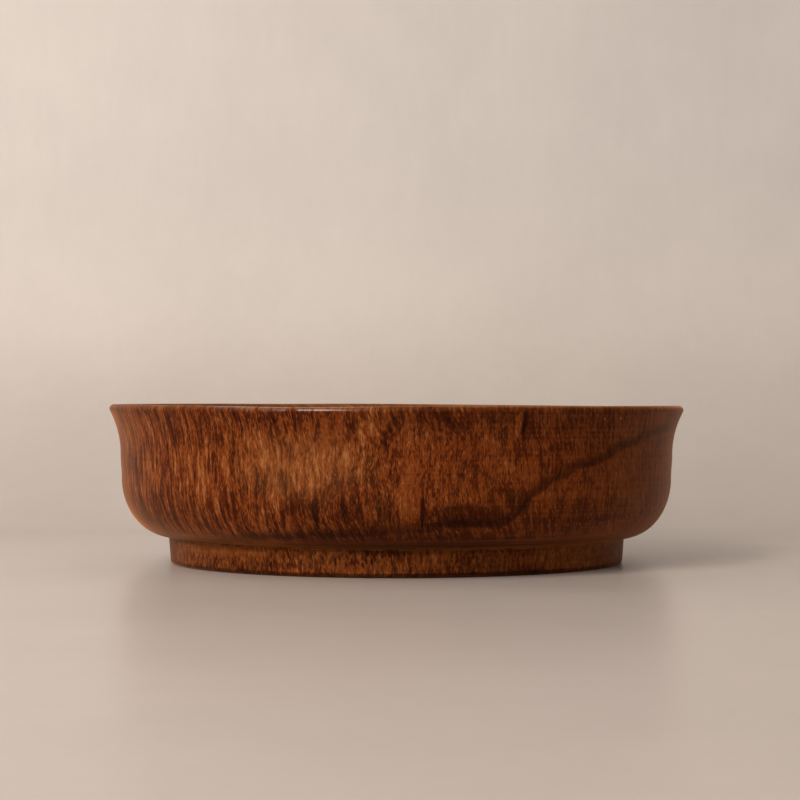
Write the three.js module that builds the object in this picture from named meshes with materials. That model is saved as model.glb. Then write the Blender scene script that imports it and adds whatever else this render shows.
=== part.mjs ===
// Open footed bowl, turned in wood: a flared bowl on a foot ring that is glued round a spigot under its floor.
// Millimetres, +Z up. The origin is the middle of the foot's underside, and Z is the axis that both pieces turn on.
import * as THREE from "three";

// Driving dimensions. The bowl's height is the sum of the four heights below, and its radii step in from the rim.
const RIM_DIAMETER = 240; // across the outside of the lip
const FLARE = 4.6; // how far the lip stands out past the waist under it
const TUCK = 0.5; // how far the belly stands in from the waist
const FOOT_INSET = 19.4; // how far the foot stands in from the belly

const FOOT_HEIGHT = 10.6;
const LOWER_CURVE_HEIGHT = 25; // from the foot's seat to the belly
const WALL_RISE = 9.8; // from the belly to the waist
const FLARE_HEIGHT = 20.6; // from the waist to the top of the lip

const WALL_THICKNESS = 6;
const LIP_THICKNESS = 4.6; // across the top of the rim
const LIP_OUTER_ROUND = 1.8;
const LIP_INNER_ROUND = 1.2;
const FLOOR_THICKNESS = 9.5;
const INNER_CURVE_WIDTH = 22; // from the flat of the floor out to the inside of the wall

const FOOT_WIDTH = 11.5; // from the foot's outer top edge in to its bore
const FOOT_TAPER = 0.8; // how far the foot draws in from its top to the table
const FOOT_EDGE_ROUND = 1.4; // the worn outer edge that stands on the table
const FOOT_ARRIS = 0.5; // the small round on the foot's outer top edge
const BORE_EASE = 1; // the eased inner edge on the table
const SPIGOT_HEIGHT = 3.2; // the disc under the floor that the foot ring is centred on
const SPIGOT_EASE = 0.8;
const GLUE_LINE = 0.3; // room for glue between the ring and the bowl, above it and round the spigot

const SEGMENTS = 72; // round the axis
const FINE = 8; // steps along a long curve
const COARSE = 4; // steps along a short one

// Radii and heights that both pieces share
const rimRadius = RIM_DIAMETER / 2;
const waistRadius = rimRadius - FLARE;
const bellyRadius = waistRadius - TUCK;
const footRadius = bellyRadius - FOOT_INSET;
const boreRadius = footRadius - FOOT_WIDTH;
const spigotRadius = boreRadius - GLUE_LINE;

const seatLevel = FOOT_HEIGHT + GLUE_LINE;
const bellyLevel = seatLevel + LOWER_CURVE_HEIGHT;
const waistLevel = bellyLevel + WALL_RISE;
const rimLevel = waistLevel + FLARE_HEIGHT;
const spigotLevel = seatLevel - SPIGOT_HEIGHT;
const floorLevel = spigotLevel + FLOOR_THICKNESS;

const bowlWood = new THREE.MeshStandardMaterial({ color: 0x6e3716, roughness: 0.4, metalness: 0 });
const footWood = new THREE.MeshStandardMaterial({ color: 0x71401c, roughness: 0.45, metalness: 0 });

// An outline in the plane of radius and height, gathered curve by curve.
class Outline {
  constructor(radius, level) {
    this.points = [new THREE.Vector2(radius, level)];
  }

  lineTo(radius, level) {
    this.points.push(new THREE.Vector2(radius, level));
    return this;
  }

  follow(curve, steps) {
    this.points.push(...curve.getPoints(steps).slice(1));
    return this;
  }

  // A quarter, or less, of an ellipse or circle. It starts where the outline has got to.
  arc(radius, level, width, height, from, to, steps) {
    const clockwise = to < from;
    return this.lineTo(radius + width * Math.cos(from), level + height * Math.sin(from)).follow(
      new THREE.EllipseCurve(radius, level, width, height, from, to, clockwise),
      steps,
    );
  }

  // A gentle sideways step that leaves and arrives upright.
  easeTo(radius, level, steps) {
    const start = this.points.at(-1);
    const third = (level - start.y) / 3;
    return this.follow(
      new THREE.CubicBezierCurve(
        start,
        new THREE.Vector2(start.x, start.y + third),
        new THREE.Vector2(radius, level - third),
        new THREE.Vector2(radius, level),
      ),
      steps,
    );
  }

  // The points without repeats, so that no face of the turned solid is empty.
  distinct() {
    const SAME_POINT = 1e-6;
    return this.points.filter((p, i) => i === 0 || p.distanceTo(this.points[i - 1]) > SAME_POINT);
  }
}

// An arc that leaves the waist upright and meets the round of the lip smoothly: its lean there, and its radius
// with that round's radius added, which is taken off again where the round lies on the arc's other side.
function flareArc(reach, rise) {
  const lean = 2 * Math.atan(reach / rise);
  return { lean, reachRadius: rise / Math.sin(lean) };
}

function turned(name, outline, material) {
  const geometry = new THREE.LatheGeometry(outline.distinct(), SEGMENTS);
  geometry.rotateX(Math.PI / 2);
  const mesh = new THREE.Mesh(geometry, material);
  mesh.name = name;
  return mesh;
}

// The bowl with its spigot, from the middle of its underside round over the lip to the middle of its floor.
function bowlBody() {
  const outer = flareArc(FLARE, FLARE_HEIGHT - LIP_OUTER_ROUND);
  const outerRadius = outer.reachRadius - LIP_OUTER_ROUND;
  const innerWaist = waistRadius - WALL_THICKNESS;
  const innerBelly = bellyRadius - WALL_THICKNESS;
  const innerLip = rimRadius - LIP_THICKNESS;
  const inner = flareArc(innerLip - innerWaist, FLARE_HEIGHT - LIP_INNER_ROUND);
  const innerRadius = inner.reachRadius + LIP_INNER_ROUND;
  const floorRadius = innerBelly - INNER_CURVE_WIDTH;

  const outline = new Outline(0, spigotLevel)
    .lineTo(spigotRadius - SPIGOT_EASE, spigotLevel)
    .lineTo(spigotRadius, spigotLevel + SPIGOT_EASE)
    .lineTo(spigotRadius, seatLevel)
    .arc(footRadius, bellyLevel, FOOT_INSET, LOWER_CURVE_HEIGHT, -Math.PI / 2, 0, FINE)
    .easeTo(waistRadius, waistLevel, COARSE)
    .arc(waistRadius + outerRadius, waistLevel, outerRadius, outerRadius, Math.PI, Math.PI - outer.lean, COARSE)
    .arc(
      rimRadius - LIP_OUTER_ROUND,
      rimLevel - LIP_OUTER_ROUND,
      LIP_OUTER_ROUND,
      LIP_OUTER_ROUND,
      -outer.lean,
      Math.PI / 2,
      COARSE,
    )
    .arc(
      innerLip + LIP_INNER_ROUND,
      rimLevel - LIP_INNER_ROUND,
      LIP_INNER_ROUND,
      LIP_INNER_ROUND,
      Math.PI / 2,
      Math.PI - inner.lean,
      COARSE,
    )
    .arc(innerWaist + innerRadius, waistLevel, innerRadius, innerRadius, Math.PI - inner.lean, Math.PI, COARSE)
    .easeTo(innerBelly, bellyLevel, COARSE)
    .arc(floorRadius, bellyLevel, INNER_CURVE_WIDTH, bellyLevel - floorLevel, 0, -Math.PI / 2, FINE)
    .lineTo(0, floorLevel);
  return turned("bowl_body", outline, bowlWood);
}

// The ring that the bowl stands on. Its top face is glued to the seat and its bore goes round the spigot.
function footRing() {
  const standRadius = footRadius - FOOT_TAPER;
  const outline = new Outline(boreRadius + BORE_EASE, 0)
    .arc(standRadius - FOOT_EDGE_ROUND, FOOT_EDGE_ROUND, FOOT_EDGE_ROUND, FOOT_EDGE_ROUND, -Math.PI / 2, 0, COARSE)
    .arc(footRadius - FOOT_ARRIS, FOOT_HEIGHT - FOOT_ARRIS, FOOT_ARRIS, FOOT_ARRIS, 0, Math.PI / 2, COARSE)
    .lineTo(boreRadius, FOOT_HEIGHT)
    .lineTo(boreRadius, BORE_EASE)
    .lineTo(boreRadius + BORE_EASE, 0);
  return turned("foot_ring", outline, footWood);
}

const bowl = new THREE.Group();
bowl.add(bowlBody(), footRing());

export default bowl;
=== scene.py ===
"""The looks of an open footed bowl, turned in flecked hardwood and standing on a foot ring glued under it.

Metres, +Z up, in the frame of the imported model. Marks in the wood and courses round the bowl are given in
millimetres and in degrees to the right of the front. Each piece is turned again as a fine mesh from its
outline, pulled a little out of true as dried wood is, and dressed in a wood whose rays run out from the
pith of the tree.
"""

import logging
import math
from abc import ABC, abstractmethod
from dataclasses import dataclass, field
from enum import Enum
from typing import ClassVar

import bpy
import numpy as np
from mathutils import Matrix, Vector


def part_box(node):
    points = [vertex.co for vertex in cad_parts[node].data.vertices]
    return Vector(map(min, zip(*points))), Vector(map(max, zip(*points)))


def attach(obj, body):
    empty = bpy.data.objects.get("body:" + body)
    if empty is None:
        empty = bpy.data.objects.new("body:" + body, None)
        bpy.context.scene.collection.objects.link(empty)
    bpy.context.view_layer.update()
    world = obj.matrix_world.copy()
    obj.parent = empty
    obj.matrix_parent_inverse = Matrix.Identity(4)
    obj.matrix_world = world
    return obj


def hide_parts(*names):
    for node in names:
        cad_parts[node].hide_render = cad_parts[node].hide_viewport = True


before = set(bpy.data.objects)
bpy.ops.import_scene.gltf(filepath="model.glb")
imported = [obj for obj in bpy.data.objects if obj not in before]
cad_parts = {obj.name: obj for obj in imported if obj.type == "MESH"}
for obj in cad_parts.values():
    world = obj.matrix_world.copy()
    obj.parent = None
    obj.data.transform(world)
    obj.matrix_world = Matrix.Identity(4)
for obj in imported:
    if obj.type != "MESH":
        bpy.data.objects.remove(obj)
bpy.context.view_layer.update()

log = logging.getLogger("footed_bowl")

Socket = bpy.types.NodeSocket
Wire = Socket | float | tuple[float, ...]
Outputs = dict[str, Socket]
Colour = tuple[float, float, float, float]
Course = tuple[tuple[float, float], ...]  # degrees to the right of the front, and millimetres there

MM = 0.001
QUARTER = math.pi / 2
BODY = "root"
WEAR = "wear"  # mesh attribute: how much a place is rubbed
SEAM = "seam"  # mesh attribute: how near a place is to the glue line
SEGMENTS = 448  # steps round the axis in each turned mesh
SAME_POINT = 1e-7  # points of an outline that lie nearer than this are one
REFERENCE_RADIUS = 115 * MM  # where arcs round the bowl are measured
ALL_ROUND = 2000  # half width, in millimetres, of a mark that goes all round

# How the dried and worn bowl departs from a true one
THINNER_GLUE = 0.2 * MM  # how much nearer the seat the ring is drawn than the room for glue leaves it
SEAT_HITCH = 0.7 * MM  # how much higher the bowl's seat on its foot is on the left than on the right
OUTWARD_POWER = 4  # the higher this is, the more of the floor stays still
SMOOTHING = (-4, 0, 4)  # degrees over which a course round the bowl is averaged
LIP_COURSE: Course = (
    (-172, 0.3),
    (-150, 0.4),
    (-135, 0.2),
    (-90, 0.3),
    (-45, 0.5),
    (0, 0.6),
    (22, 0.55),
    (41, 0.89),
    (90, 1.0),
    (130, 1.3),
    (155, 0.9),
)
WORN_COURSE: Course = ((-60, 0.0), (-45, 0.15), (-30, 0.5), (-20, 0.87), (-5, 0.48), (15, 0.0))

# The rays, in layers that take over from one another on the way out from the pith
PITH = (70 * MM, 90 * MM, 0.0)  # behind the bowl's axis and to the right of it
LAYER_RADII = (14 * MM, 32 * MM, 75 * MM, 180 * MM)  # where each layer is true to size
LAYER_HOLD = 0.15  # how far past its radius a layer holds alone, as a share of the radius
RAY_DEPTH = 30 * MM  # how far out a fleck lasts
WANDER = 7 * MM  # how far slow waves push the grain aside
WANDER_SIZE = 24 * MM  # how long those waves are
PATCH_SIZE = 14 * MM  # how far apart the patches with more and fewer flecks are
PATCH_SHIFT = 5.0  # what patches and rings add to the seed
RING_PITCH = 5 * MM  # how far apart the tree's rings are
FLECK_INPUTS = {"Fleck Width": 0.95 * MM, "Fleck Height": 3.5 * MM, "Length": 0.5, "Seed": 0.0}

# The growth line and the softer layers beside it
STRAY_SIZE = 9 * MM  # how long the waves in its edge are
STRAY = 6 * MM  # how far they reach
FADE_ABOVE = 0.75  # how fast it fades above its middle
FADE_BELOW = 1.7  # and below
LINE_EDGES = (1.0, 0.15)  # where it has gone and where it is full
LAYER_PITCH = 9 * MM  # how far apart the softer layers are
LAYER_EDGES = (0.35, 0.65)  # noise where a layer starts and where it is full
WALL_RADII = (88 * MM, 98 * MM)  # it has gone at the first, towards the floor, and is full at the second

# Marks in the figure and marks of painted light and shade, worn edges and tool marks
MARK_CELL = (4 * MM, 12 * MM)  # width and height of the grain in a mark's ragged edge
MARK_EDGES = (1.2, 0.5)  # half sizes away where a mark has gone and where it is full
MARK_RADII = (86 * MM, 93 * MM)  # they have gone at the first, on the floor, and are full at the second
RUB_SIZE = 5 * MM  # how far apart the patches in the rubbing are
RUB_EDGES = (0.3, 0.65)  # noise where a patch starts and where it is full
TOOL_WAVE = 125 * MM  # how far round the bowl a tool mark keeps its depth

# How the figure gives a tone, and the tone a colour
TONE_WEIGHTS = {"Patch": 0.25, "Fibre": 0.44, "Ring": 0.15}
TONES = (0.28, 0.44, 0.56, 0.72)  # all streak, all ground, all fleck, all pale fleck
MARK_TONE = 0.08  # how much paler or darker a mark of strength 1 is
SMOOTH_TONE = 0.36  # smooth wood where a tool mark is deepest
SMOOTH_RINGS = 0.3  # how much paler it is on the tool marks' crests
LONGER_SHARE = 0.6  # how much a mark of strength 1 adds to the share of long flecks
LONGER_WANDER = -4 * MM  # and to how far their grain is pushed aside
DULL_PATCH = (0.45, 0.65)  # noise where a dull patch starts and where it is full
DULL_SHARE = 0.6  # how much of the dull ground it then has
HAIR_FIBRE = (0.56, 0.72)  # fibres where a pale hair line starts and where it is full
HAIR_TONE = (0.4, 0.55)  # the same, by the tone of the wood that it lies in
HAIR_SHARE = 0.35  # how plain the hair lines are
DARK_SHARE = 0.3  # how much streak a dark mark of strength 1 has
DARKEST = 0.9  # the most streak that lines and marks give
WORN_TONE = 2.0  # how much more a worn patch shows in paler wood
WORN_AT_ZERO = -0.2  # and at tone 0
SETTLED_SHARE = 0.4  # how much streak there is in what has settled by the glue line
SETTLED_DULLNESS = 0.25  # how much duller it is
FLECK_DULLNESS = -0.06  # flecks are a little glossier
FIBRE_RELIEF = 0.8  # how high the fibres stand beside the flecks
TOOL_RELIEF = 0.6  # and how high the tool marks do
GLOSS_EDGES = (0.03, 0.2)  # rubbing where the gloss of a polished edge starts and where it is full


class Effect(Enum):
    """What a mark in the figure of the wood does. Some marks paint light and shade on it."""

    PALER = "paler"
    DARKER = "darker"
    SMOOTHER = "smoother"  # the flecks give way to an even tone
    LONGER = "longer"  # the flecks are longer and straighter
    WORN = "worn"  # the wood is as pale as on rubbed edges: real wear, and also painted highlight and painted sheen
    GLOSSIER = "glossier"  # rubbed edges shine


class Slot(Enum):
    """The record's material slots."""

    BOWL = "bowl_wood"
    FOOT = "foot_wood"


class Node(Enum):
    """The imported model's nodes."""

    BOWL = "bowl_body"
    FOOT = "foot_ring"


def srgb(red: int, green: int, blue: int) -> Colour:
    """Turns a colour as it looks on a screen into the linear one that shaders take.

    Args:
        red: Red, from 0 to 255.
        green: Green, from 0 to 255.
        blue: Blue, from 0 to 255.

    Returns:
        The linear colour with full alpha.
    """
    shares = (value / 255 for value in (red, green, blue))
    linear = [s / 12.92 if s <= 0.04045 else ((s + 0.055) / 1.055) ** 2.4 for s in shares]
    return (*linear, 1.0)


class Bench:
    """Adds nodes to one node tree, wires them and hands their outputs back."""

    def __init__(self, tree: bpy.types.NodeTree) -> None:
        """Takes the tree to work on."""
        self.tree = tree

    def node(self, kind: str, *wires: Wire, **settings: object) -> bpy.types.Node:
        """Adds a node.

        Args:
            kind: The node's type name.
            *wires: What goes into its inputs, in order.
            **settings: Properties to set on it.

        Returns:
            The new node.
        """
        made = self.tree.nodes.new(kind)
        for name, value in settings.items():
            setattr(made, name, value)
        for socket, wire in zip(made.inputs, wires):
            self.feed(socket, wire)
        return made

    def feed(self, socket: Socket, wire: Wire) -> None:
        """Joins a wire to a socket, or sets the socket where the wire is a plain value."""
        if isinstance(wire, Socket):
            self.tree.links.new(wire, socket)
        else:
            socket.default_value = wire

    def math(self, operation: str, *wires: Wire) -> Socket:
        """Does a sum on numbers, given the Math node's operation."""
        return self.node("ShaderNodeMath", *wires, operation=operation).outputs[0]

    def times(self, first: Wire, second: Wire) -> Socket:
        """Multiplies two numbers."""
        return self.math("MULTIPLY", first, second)

    def add(self, base: Wire, value: Wire, weight: Wire) -> Socket:
        """Adds a value, times its weight, to a base."""
        return self.math("MULTIPLY_ADD", value, weight, base)

    def swing(self, noise: Wire) -> Socket:
        """Tells how far noise lies above or below its middle."""
        return self.math("SUBTRACT", noise, 0.5)

    def step(self, value: Wire, start: float, end: float) -> Socket:
        """Rises smoothly from 0 to 1.

        Args:
            value: What is looked at.
            start: The value that gives 0.
            end: The value that gives 1. It may be the lower of the two.

        Returns:
            The rise.
        """
        made = self.node("ShaderNodeMapRange", value, start, end, interpolation_type="SMOOTHSTEP")
        return made.outputs[0]

    def vector(self, operation: str, *wires: Wire) -> Socket:
        """Does a sum on vectors, given the Vector Math node's operation."""
        return self.node("ShaderNodeVectorMath", *wires, operation=operation).outputs["Vector"]

    def join(self, x: Wire, y: Wire, z: Wire) -> Socket:
        """Makes a vector of three numbers."""
        return self.node("ShaderNodeCombineXYZ", x, y, z).outputs[0]

    def split(self, vector: Wire) -> tuple[Socket, Socket, Socket]:
        """Takes a vector apart into its three numbers."""
        return tuple(self.node("ShaderNodeSeparateXYZ", vector).outputs)

    def length(self, vector: Wire) -> Socket:
        """Measures a vector."""
        return self.node("ShaderNodeVectorMath", vector, operation="LENGTH").outputs["Value"]

    def object_place(self) -> Socket:
        """The place on the object, in metres in the frame."""
        return self.node("ShaderNodeTexCoord").outputs["Object"]

    def cells(self, place: Wire, width: float, height: float) -> Socket:
        """Counts a place in upright cells of a width and height."""
        return self.vector("MULTIPLY", place, (1 / width, 1 / width, 1 / height))

    def noise(self, at: Wire, seed: Wire, detail: float = 2.0, roughness: float = 0.5) -> Socket:
        """Samples smooth noise with cells one unit across.

        Args:
            at: Where, in cells.
            seed: The fourth coordinate, which picks one pattern out of many.
            detail: How many finer octaves are added.
            roughness: How strong each finer octave is beside the one before it.

        Returns:
            The noise, mostly from 0.3 to 0.7.
        """
        made = self.node("ShaderNodeTexNoise", at, seed, 1.0, detail, roughness, noise_dimensions="4D")
        return made.outputs[0]

    def mix(self, share: Wire, first: Wire, second: Wire) -> Socket:
        """Mixes two colours: the first at share 0, and the second at share 1."""
        return self._mixed("RGBA", "Color", share, first, second)

    def blend(self, share: Wire, first: Wire, second: Wire) -> Socket:
        """Mixes two numbers, as mix does colours."""
        return self._mixed("FLOAT", "Float", share, first, second)

    def _mixed(self, data: str, ending: str, share: Wire, first: Wire, second: Wire) -> Socket:
        """Adds a Mix node.

        Args:
            data: Its type of data.
            ending: How the identifiers of that type's sockets end.
            share: How much of the second there is.
            first: What there is at share 0.
            second: What there is at share 1.

        Returns:
            The mixture.
        """
        made = self.node("ShaderNodeMix", data_type=data)
        wires = {"Factor_Float": share, f"A_{ending}": first, f"B_{ending}": second}
        for socket in made.inputs:
            if socket.identifier in wires:
                self.feed(socket, wires[socket.identifier])
        return next(socket for socket in made.outputs if socket.identifier == f"Result_{ending}")

    def place(self, group: bpy.types.NodeTree, **wires: Wire) -> Outputs:
        """Puts a node group in the tree.

        Args:
            group: The group.
            **wires: Its inputs by name, with _ for a space.

        Returns:
            Its outputs by name.
        """
        made = self.node("ShaderNodeGroup", node_tree=group)
        for name, wire in wires.items():
            self.feed(made.inputs[name.replace("_", " ")], wire)
        return {socket.name: socket for socket in made.outputs}

    def surface(self, shader: Socket) -> None:
        """Ends a material's tree in a shader."""
        self.node("ShaderNodeOutputMaterial", shader)


class GroupBench(Bench):
    """A node group under construction."""

    def __init__(self, name: str, inputs: dict[str, Wire], outputs: tuple[str, ...]) -> None:
        """Makes the group's sockets.

        Args:
            name: The group's name.
            inputs: Each input's name and default, a number or a vector.
            outputs: Each output's name.
        """
        super().__init__(bpy.data.node_groups.new(name, "ShaderNodeTree"))
        for label, value in inputs.items():
            kind = "NodeSocketVector" if isinstance(value, tuple) else "NodeSocketFloat"
            socket = self.tree.interface.new_socket(label, in_out="INPUT", socket_type=kind)
            socket.default_value = value
        for label in outputs:
            self.tree.interface.new_socket(label, in_out="OUTPUT", socket_type="NodeSocketFloat")
        self.entry = self.node("NodeGroupInput").outputs
        self.exit = self.node("NodeGroupOutput").inputs

    def give(self, **wires: Wire) -> bpy.types.NodeTree:
        """Wires the group's outputs and hands the finished group back."""
        for name, wire in wires.items():
            self.feed(self.exit[name], wire)
        return self.tree

    def bearing(self, x: Wire, y: Wire) -> Socket:
        """The angle round an upright axis at 0, to the right of the front."""
        return self.math("ARCTAN2", x, self.times(y, -1.0))

    def radius(self, x: Wire, y: Wire) -> Socket:
        """The distance from an upright axis at 0."""
        return self.length(self.join(x, y, 0.0))


def turned_place_group() -> bpy.types.NodeTree:
    """Where a point lies round the turning axis: arc to the right of the front, height, and radius.

    Returns:
        The group.
    """
    bench = GroupBench("Turned Place", {}, ("Arc", "Height", "Radius"))
    x, y, z = bench.split(bench.object_place())
    arc = bench.times(bench.bearing(x, y), REFERENCE_RADIUS)
    return bench.give(Arc=arc, Height=z, Radius=bench.radius(x, y))


@dataclass(frozen=True)
class Cells:
    """The cells of one kind of noise in the figure of the wood.

    Attributes:
        widths: Their width, in fleck widths.
        heights: Their height, in fleck heights.
        shift: What they add to the seed.
        detail: How many finer octaves they have.
    """

    widths: float
    heights: float
    shift: float
    detail: float


SHORT_FLECKS = Cells(widths=1.1, heights=1.0, shift=0.0, detail=4.0)
LONG_FLECKS = Cells(widths=1.2, heights=3.2, shift=17.0, detail=4.0)
FIBRES = Cells(widths=0.32, heights=0.5, shift=31.0, detail=1.0)


def ray_layer_group() -> bpy.types.NodeTree:
    """Flecks where the wood's rays are cut, at an even pitch near one distance from the pith.

    Returns:
        The group.
    """
    inputs = {"Place": (0.0, 0.0, 0.0), "Layer Radius": REFERENCE_RADIUS, **FLECK_INPUTS}
    bench = GroupBench("Ray Layer", inputs, ("Figure", "Fibre"))
    x, y, z = bench.split(bench.entry["Place"])
    arc = bench.times(bench.bearing(x, y), bench.entry["Layer Radius"])
    depth = bench.math("DIVIDE", bench.radius(x, y), RAY_DEPTH)

    def pattern(cells: Cells) -> Socket:
        """Samples noise of one kind.

        Args:
            cells: Its cells.

        Returns:
            The noise.
        """
        width = bench.times(bench.entry["Fleck Width"], cells.widths)
        height = bench.times(bench.entry["Fleck Height"], cells.heights)
        place = bench.join(bench.math("DIVIDE", arc, width), bench.math("DIVIDE", z, height), depth)
        return bench.noise(place, bench.math("ADD", bench.entry["Seed"], cells.shift), cells.detail)

    figure = bench.blend(bench.entry["Length"], pattern(SHORT_FLECKS), pattern(LONG_FLECKS))
    return bench.give(Figure=figure, Fibre=pattern(FIBRES))


def ray_grain_group(layer: bpy.types.NodeTree) -> bpy.types.NodeTree:
    """Rays that run out from the pith at an even pitch: coarser layers take over as the distance grows.

    Args:
        layer: The group of one layer of rays.

    Returns:
        The group.
    """
    names = ("Figure", "Fibre")
    inputs = {"Pith": (0.0, 0.0, 0.0), "Turn": 0.0, "Wander": WANDER, **FLECK_INPUTS}
    bench = GroupBench("Ray Grain", inputs, (*names, "Patch", "Ring"))
    place = bench.vector("SUBTRACT", bench.object_place(), bench.entry["Pith"])
    x, y, _ = bench.split(place)
    distance = bench.radius(x, y)
    slow = bench.noise(bench.cells(place, WANDER_SIZE, WANDER_SIZE), bench.entry["Seed"], detail=1.5)
    aside = bench.times(bench.swing(slow), bench.entry["Wander"])
    bend = bench.math("DIVIDE", aside, bench.math("MAXIMUM", distance, MM))
    bent = bench.node("ShaderNodeVectorRotate", place, rotation_type="Z_AXIS")
    bench.feed(bent.inputs["Angle"], bench.math("ADD", bench.entry["Turn"], bend))

    shared = {"Place": bent.outputs[0], **{name: bench.entry[name] for name in FLECK_INPUTS}}
    results = bench.place(layer, Layer_Radius=LAYER_RADII[0], **shared)
    for inner, outer in zip(LAYER_RADII, LAYER_RADII[1:]):
        found = bench.place(layer, Layer_Radius=outer, **shared)
        share = bench.step(distance, (1 + LAYER_HOLD) * inner, (1 - LAYER_HOLD) * outer)
        results = {name: bench.blend(share, results[name], found[name]) for name in names}

    other = bench.math("ADD", bench.entry["Seed"], PATCH_SHIFT)
    patch = bench.noise(bench.cells(place, PATCH_SIZE, PATCH_SIZE), other)
    out = bench.math("DIVIDE", bench.math("ADD", distance, aside), RING_PITCH)
    ring = bench.noise(bench.join(out, 0.0, 0.0), other)
    return bench.give(**results, Patch=patch, Ring=ring)


def growth_line_group() -> bpy.types.NodeTree:
    """A dark growth layer that crosses the wall, and the softer layers beside it.

    Returns:
        The group.
    """
    inputs = {"Height": 0.0, "Radius": REFERENCE_RADIUS, "Line Height": 0.0, "Line Width": 3 * MM}
    bench = GroupBench("Growth Line", {**inputs, "Seed": 0.0}, ("Line", "Layers"))
    seed = bench.entry["Seed"]
    level = bench.math("SUBTRACT", bench.entry["Height"], bench.entry["Line Height"])
    stray = bench.noise(bench.cells(bench.object_place(), STRAY_SIZE, STRAY_SIZE), seed, detail=3.0)
    level = bench.add(level, bench.swing(stray), STRAY)
    share = bench.math("DIVIDE", level, bench.entry["Line Width"])
    distance = bench.math("MAXIMUM", bench.times(share, FADE_ABOVE), bench.times(share, -FADE_BELOW))
    line = bench.times(bench.step(distance, *LINE_EDGES), bench.step(bench.entry["Radius"], *WALL_RADII))
    across = bench.math("DIVIDE", level, LAYER_PITCH)
    layers = bench.noise(bench.join(across, 0.0, 0.0), seed, roughness=0.6)
    return bench.give(Line=line, Layers=bench.step(layers, *LAYER_EDGES))


def figure_and_light_mark_group() -> bpy.types.NodeTree:
    """A soft patch at one place on the turned face, with a ragged edge.

    Returns:
        The group.
    """
    inputs = {
        "Arc": 0.0,
        "Height": 0.0,
        "Radius": REFERENCE_RADIUS,
        "Mark Arc": 0.0,
        "Mark Height": 0.0,
        "Half Width": 10 * MM,
        "Half Height": 10 * MM,
        "Ragged": 0.6,
    }
    bench = GroupBench("Figure Mark", inputs, ("Mask",))
    ragged = bench.noise(bench.cells(bench.object_place(), *MARK_CELL), bench.entry["Mark Arc"])
    spans = (("Arc", "Mark Arc", "Half Width"), ("Height", "Mark Height", "Half Height"))
    sides = []
    for place, centre, half in spans:
        away = bench.math("SUBTRACT", bench.entry[place], bench.entry[centre])
        share = bench.math("DIVIDE", away, bench.entry[half])
        sides.append(bench.times(share, share))
    distance = bench.math("SQRT", bench.math("ADD", *sides))
    distance = bench.add(distance, bench.swing(ragged), bench.entry["Ragged"])
    off_floor = bench.step(bench.entry["Radius"], *MARK_RADII)
    return bench.give(Mask=bench.times(bench.step(distance, *MARK_EDGES), off_floor))


def rubbed_edge_group() -> bpy.types.NodeTree:
    """Where hands and cloths have rubbed the edges, and where wax and dust have settled by the glue line.

    Returns:
        The group.
    """
    bench = GroupBench("Rubbed Edge", {"Seed": 0.0}, ("Rubbed", "Settled"))
    spot = bench.cells(bench.object_place(), RUB_SIZE, RUB_SIZE)
    patch = bench.step(bench.noise(spot, bench.entry["Seed"], detail=3.0), *RUB_EDGES)
    wear = bench.node("ShaderNodeAttribute", attribute_name=WEAR).outputs["Fac"]
    seam = bench.node("ShaderNodeAttribute", attribute_name=SEAM).outputs["Fac"]
    return bench.give(Rubbed=bench.times(wear, patch), Settled=seam)


def tool_mark_group() -> bpy.types.NodeTree:
    """The faint rings that the turner's gouge leaves, as a height.

    Returns:
        The group.
    """
    bench = GroupBench("Tool Marks", {"Height": 0.0, "Radius": 0.1, "Pitch": 1.4 * MM}, ("Relief",))
    run = bench.math("ADD", bench.entry["Height"], bench.entry["Radius"])
    x, y, _ = bench.split(bench.cells(bench.object_place(), TOOL_WAVE, TOOL_WAVE))
    place = bench.join(x, y, bench.math("DIVIDE", run, bench.entry["Pitch"]))
    return bench.give(Relief=bench.noise(place, seed=3.0, detail=1.0))


@dataclass(frozen=True)
class WoodGroups:
    """The node groups that the woods share."""

    place: bpy.types.NodeTree
    grain: bpy.types.NodeTree
    growth: bpy.types.NodeTree
    mark: bpy.types.NodeTree
    rubbed: bpy.types.NodeTree
    tool: bpy.types.NodeTree

    @classmethod
    def build(cls) -> "WoodGroups":
        """Builds each group once.

        Returns:
            The groups.
        """
        return cls(
            place=turned_place_group(),
            grain=ray_grain_group(ray_layer_group()),
            growth=growth_line_group(),
            mark=figure_and_light_mark_group(),
            rubbed=rubbed_edge_group(),
            tool=tool_mark_group(),
        )


def bare_material(name: str) -> tuple[bpy.types.Material, Bench]:
    """Makes a material with no nodes yet.

    Args:
        name: The material's name.

    Returns:
        The material, and a bench for its tree.
    """
    made = bpy.data.materials.new(name)
    made.use_nodes = True
    made.node_tree.nodes.clear()
    return made, Bench(made.node_tree)


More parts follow.
